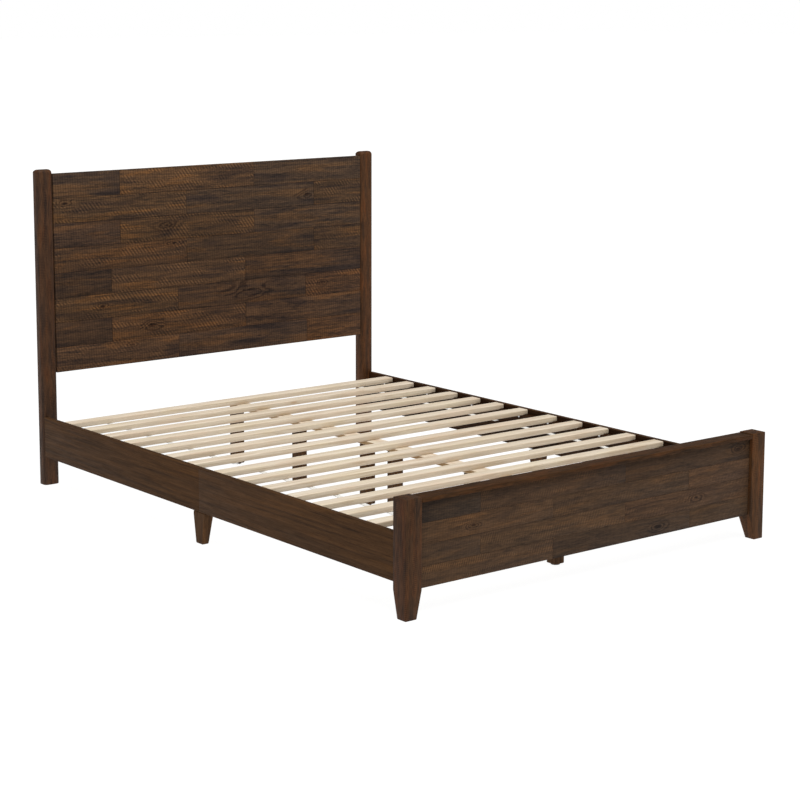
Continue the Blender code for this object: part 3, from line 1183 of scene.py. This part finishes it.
def facing(point, way):
    # a place at point whose own up looks along way
    return Matrix.Translation(point) @ Vector(way).to_track_quat("Z", "Y").to_matrix().to_4x4()


def addFixings(model, name, spots, metal):
    copies = [copyTo(model, "fixing", facing(point, way)) for point, way in spots]
    finishPiece(joinAll(copies, name), "frame", "steel", metal)


def addLedgerScrews(side, label, end, places):
    low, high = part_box(f"slat_ledger_{label}_{end}")
    face = low.x if side > 0 else high.x
    z = high.z - places["underLedgerTop"]
    spots = [((face, slatMiddle(number), z), (-side, 0, 0)) for number in rolls[end][::2]]
    addFixings(screwModel, f"ledger_screws_{label}_{end}", spots, steel)


def addBracketBolts(side, label, end, places):
    # two through the leaf on the rail, and two through the leaf on the post
    low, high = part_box(f"corner_bracket_{label}_{end}")
    outer, inner = (high.x, low.x) if side > 0 else (low.x, high.x)
    railFace = outer - side * places["bracketThickness"]
    if end == "head":
        way, y, postFace = 1, low.y + places["bracketEnd"], high.y - places["bracketThickness"]
    else:
        way, y, postFace = -1, high.y - places["bracketEnd"], low.y + places["bracketThickness"]
    heights = (low.z + places["bracketCorner"], high.z - places["bracketCorner"])
    spots = [((railFace, y, z), (-side, 0, 0)) for z in heights]
    spots += [(((inner + railFace) / 2, postFace, z), (0, -way, 0)) for z in heights]
    addFixings(boltModel, f"bracket_bolts_{label}_{end}", spots, darkSteel)


def addPlateBolts(side, label, places):
    low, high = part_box(f"rail_joining_plate_{label}")
    face = low.x if side > 0 else high.x
    middle = (low.y + high.y) / 2
    z = (low.z + high.z) / 2
    spots = [((face, middle + shift, z), (-side, 0, 0)) for shift in places["plateBolts"]]
    addFixings(boltModel, f"plate_bolts_{label}", spots, darkSteel)


def addBattenScrews(label, places):
    low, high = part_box(f"headboard_batten_{label}")
    middle = (low.x + high.x) / 2
    first = low.z + places["battenFirst"]
    zs = [first + step * places["battenPitch"] for step in range(places["battenScrews"])]
    spots = [((middle, high.y, z), (0, 1, 0)) for z in zs]
    addFixings(screwModel, f"batten_screws_{label}", spots, darkSteel)


def addRailScrews(end, places):
    # up through the centre rail into its first and last slat
    low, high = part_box(f"centre_rail_{end}")
    x = high.x - places["centreRailEdge"]
    numbers = (rolls[end][0], rolls[end][-1])
    spots = [((x, slatMiddle(number), low.z), (0, 0, -1)) for number in numbers]
    addFixings(screwModel, f"rail_screws_{end}", spots, steel)


screwModel = addScrewModel(screwShape)
boltModel = addBoltModel(boltShape)
for side, label in sideSigns:
    for end in ends:
        addLedgerScrews(side, label, end, fixingPlaces)
        addBracketBolts(side, label, end, fixingPlaces)
    addPlateBolts(side, label, fixingPlaces)
    addBattenScrews(label, fixingPlaces)
for end in ends:
    addRailScrews(end, fixingPlaces)
throwAway(screwModel)
throwAway(boltModel)
print("fixings driven")


# finishes on the pieces kept as they came

def coat(material, *names):
    for name in names:
        mesh = nodes[name].data
        mesh.materials.clear()
        mesh.materials.append(material)


coat(railWood, *[f"slat_ledger_{s}_{e}" for s in sides for e in ends])
coat(darkSteel, *[f"corner_bracket_{s}_{e}" for s in sides for e in ends])
coat(darkSteel, *[f"rail_joining_plate_{s}" for s in sides])
coat(legWood, *[f"mid_leg_{s}" for s in sides])
coat(legWood, *[f"centre_leg_{number}" for number in range(1, 7)])
coat(pineY, *[f"centre_rail_{e}" for e in ends])
coat(battenWood, *[f"headboard_batten_{s}" for s in sides])
print("finishes applied")

restAll()
